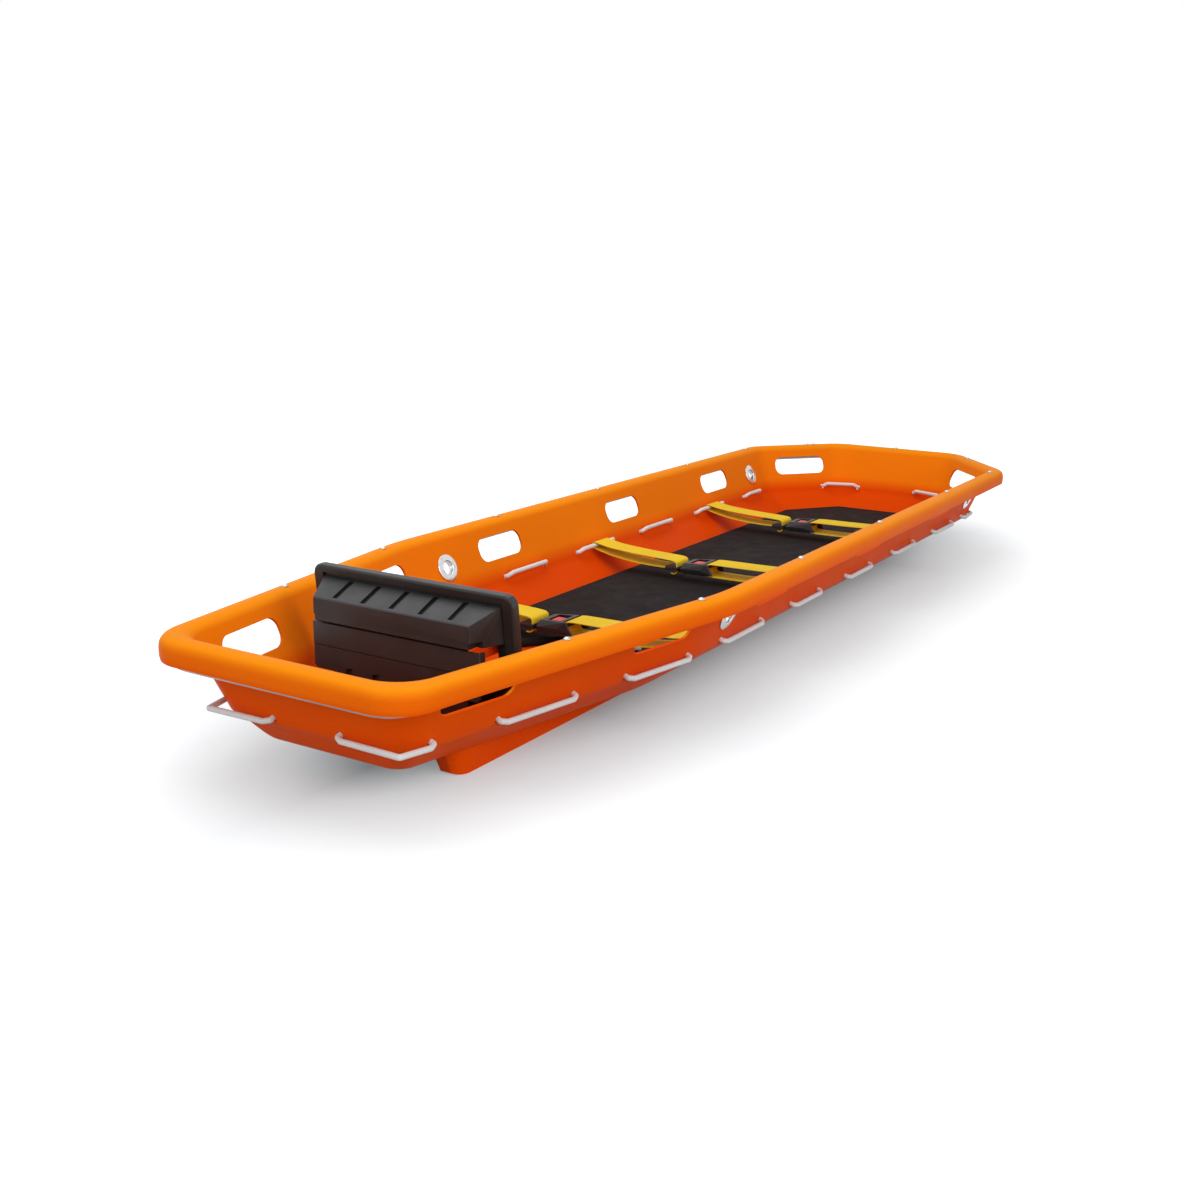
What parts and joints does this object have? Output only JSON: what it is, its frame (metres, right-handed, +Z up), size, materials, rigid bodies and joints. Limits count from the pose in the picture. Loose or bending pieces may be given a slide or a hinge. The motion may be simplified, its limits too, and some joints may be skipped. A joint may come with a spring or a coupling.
{
  "type": "basket stretcher",
  "caption": "Moulded basket stretcher with rolled rim over a tube, hand holes, threaded lacing rope, belts with press-button buckles, foam mat and a sliding footrest.",
  "frame": {"origin": "on the ground under the middle of the bounding box", "axes": "+X from the foot end to the head end, +Y to the patient's left, +Z up"},
  "size_m": [2.171, 0.639, 0.2383],
  "materials": {
    "orange_plastic": "satin moulded polyethylene",
    "aluminium": "plain drawn tube",
    "rope": "braided polyester cord",
    "mat": "dull coated foam",
    "steel": "polished",
    "webbing": "woven flat webbing",
    "black_plastic": "fine grained",
    "red_plastic": "smooth"
  },
  "bodies": {
    "basket": {"shell": "orange_plastic", "rim_tube": "aluminium", "lacing_rope": "rope", "mattress": "mat", "eyelet_foot_left": "steel", "eyelet_foot_right": "steel", "eyelet_head_left": "steel", "eyelet_head_right": "steel", "rim_rivet_01": "steel", "rim_rivet_02": "steel", "rim_rivet_03": "steel", "rim_rivet_04": "steel", "rim_rivet_05": "steel", "rim_rivet_06": "steel", "rim_rivet_07": "steel", "rim_rivet_08": "steel", "rim_rivet_09": "steel", "rim_rivet_10": "steel", "rim_rivet_11": "steel", "rim_rivet_12": "steel", "rim_rivet_13": "steel", "rim_rivet_14": "steel", "rim_rivet_15": "steel", "rim_rivet_16": "steel", "belt_1_left_webbing": "webbing", "belt_1_right_webbing": "webbing", "belt_1_buckle": "black_plastic", "belt_2_left_webbing": "webbing", "belt_2_right_webbing": "webbing", "belt_2_buckle": "black_plastic", "belt_3_left_webbing": "webbing", "belt_3_right_webbing": "webbing", "belt_3_buckle": "black_plastic"},
    "button_1": {"belt_1_button": "red_plastic"},
    "tongue_1": {"belt_1_tongue": "black_plastic"},
    "button_2": {"belt_2_button": "red_plastic"},
    "tongue_2": {"belt_2_tongue": "black_plastic"},
    "button_3": {"belt_3_button": "red_plastic"},
    "tongue_3": {"belt_3_tongue": "black_plastic"},
    "footrest": {"footrest_board": "black_plastic", "footrest_housing": "black_plastic", "footrest_base": "black_plastic", "footrest_lower_panel": "black_plastic"},
    "latch": {"footrest_latch_plate": "black_plastic"}
  },
  "joints": [
    {"name": "footrest_slide", "type": "slide", "parent": "basket", "child": "footrest", "axis": [1, 0, 0], "range_m": [-0.04, 0.2]},
    {"name": "latch_pull", "type": "slide", "parent": "footrest", "child": "latch", "axis": [-1, 0, 0], "range_m": [0, 0.008]},
    {"name": "button_1_press", "type": "slide", "parent": "basket", "child": "button_1", "axis": [0, 0, -1], "range_m": [0, 0.0032]},
    {"name": "tongue_1_release", "type": "slide", "parent": "basket", "child": "tongue_1", "axis": [0, 1, 0], "range_m": [0, 0.03], "deforming": ["belt_1_left_webbing"]},
    {"name": "button_2_press", "type": "slide", "parent": "basket", "child": "button_2", "axis": [0, 0, -1], "range_m": [0, 0.0032]},
    {"name": "tongue_2_release", "type": "slide", "parent": "basket", "child": "tongue_2", "axis": [0, 1, 0], "range_m": [0, 0.03], "deforming": ["belt_2_left_webbing"]},
    {"name": "button_3_press", "type": "slide", "parent": "basket", "child": "button_3", "axis": [0, 0, -1], "range_m": [0, 0.0032]},
    {"name": "tongue_3_release", "type": "slide", "parent": "basket", "child": "tongue_3", "axis": [0, 1, 0], "range_m": [0, 0.03], "deforming": ["belt_3_left_webbing"]}
  ]
}
